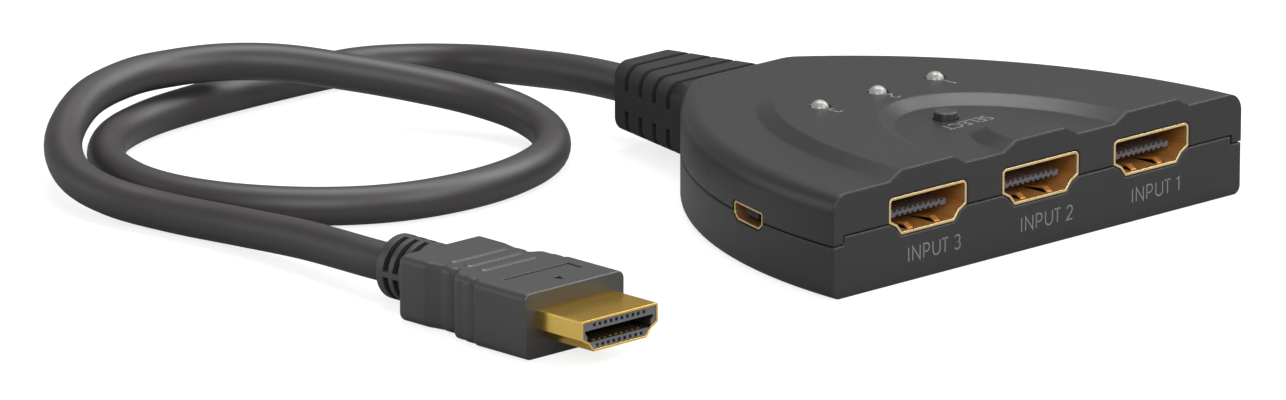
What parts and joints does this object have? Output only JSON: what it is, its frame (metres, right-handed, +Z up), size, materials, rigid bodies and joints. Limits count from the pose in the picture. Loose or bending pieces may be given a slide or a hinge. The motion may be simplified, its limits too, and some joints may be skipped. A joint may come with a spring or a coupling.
{
  "type": "video switch box",
  "caption": "Flat arch-shaped switch box with video sockets across the front, a select button, lamps, a power inlet and a fixed output lead that ends in a plug.",
  "frame": {"origin": "under the middle of the housing's box, on the surface it stands on", "axes": "+X across the socket face, +Y towards the narrow end and the lead, +Z up"},
  "size_m": [0.1301, 0.1346, 0.0168],
  "materials": {
    "case": "fine matte moulding",
    "steel": "bright",
    "board": "solder resist",
    "chip": "matte",
    "tin": "tinned",
    "ceramic": "matte",
    "lamp": "milky",
    "button": "satin",
    "gilt": "gold plated",
    "insulator": "matte",
    "relief": "matte moulding",
    "wire": "smooth",
    "lead": "soft sheen"
  },
  "bodies": {
    "housing": {"bottom_cover": "case", "top_cover": "case", "case_screws": "steel", "main_board": "board", "switch_chip": "chip", "switch_chip_legs": "tin", "regulator_chip": "chip", "chip_capacitors": "ceramic", "chip_resistors": "chip", "lamp_1": "lamp", "lamp_2": "lamp", "lamp_3": "lamp", "lamp_leads": "tin", "button_switch_base": "chip", "button_switch_plate": "tin", "button_switch_dome": "tin", "button_switch_legs": "tin", "socket_1_shell": "gilt", "socket_2_shell": "gilt", "socket_3_shell": "gilt", "socket_1_tongue": "insulator", "socket_2_tongue": "insulator", "socket_3_tongue": "insulator", "socket_1_contacts": "gilt", "socket_2_contacts": "gilt", "socket_3_contacts": "gilt", "power_socket_shell": "gilt", "power_socket_tongue": "chip", "power_socket_contacts": "gilt", "case_strain_relief": "relief", "wire_pairs": "wire", "lead": "lead", "plug_body": "relief", "plug_shell": "gilt", "plug_insulator": "insulator", "plug_contacts": "gilt", "plug_strain_relief": "relief"},
    "button": {"select_button": "button"}
  },
  "joints": [
    {"name": "select_press", "type": "slide", "parent": "housing", "child": "button", "axis": [0, 0, -1], "range_m": [0, 0.00025], "stiffness_N_per_m": 6000, "deforming": ["button_switch_dome"]}
  ]
}
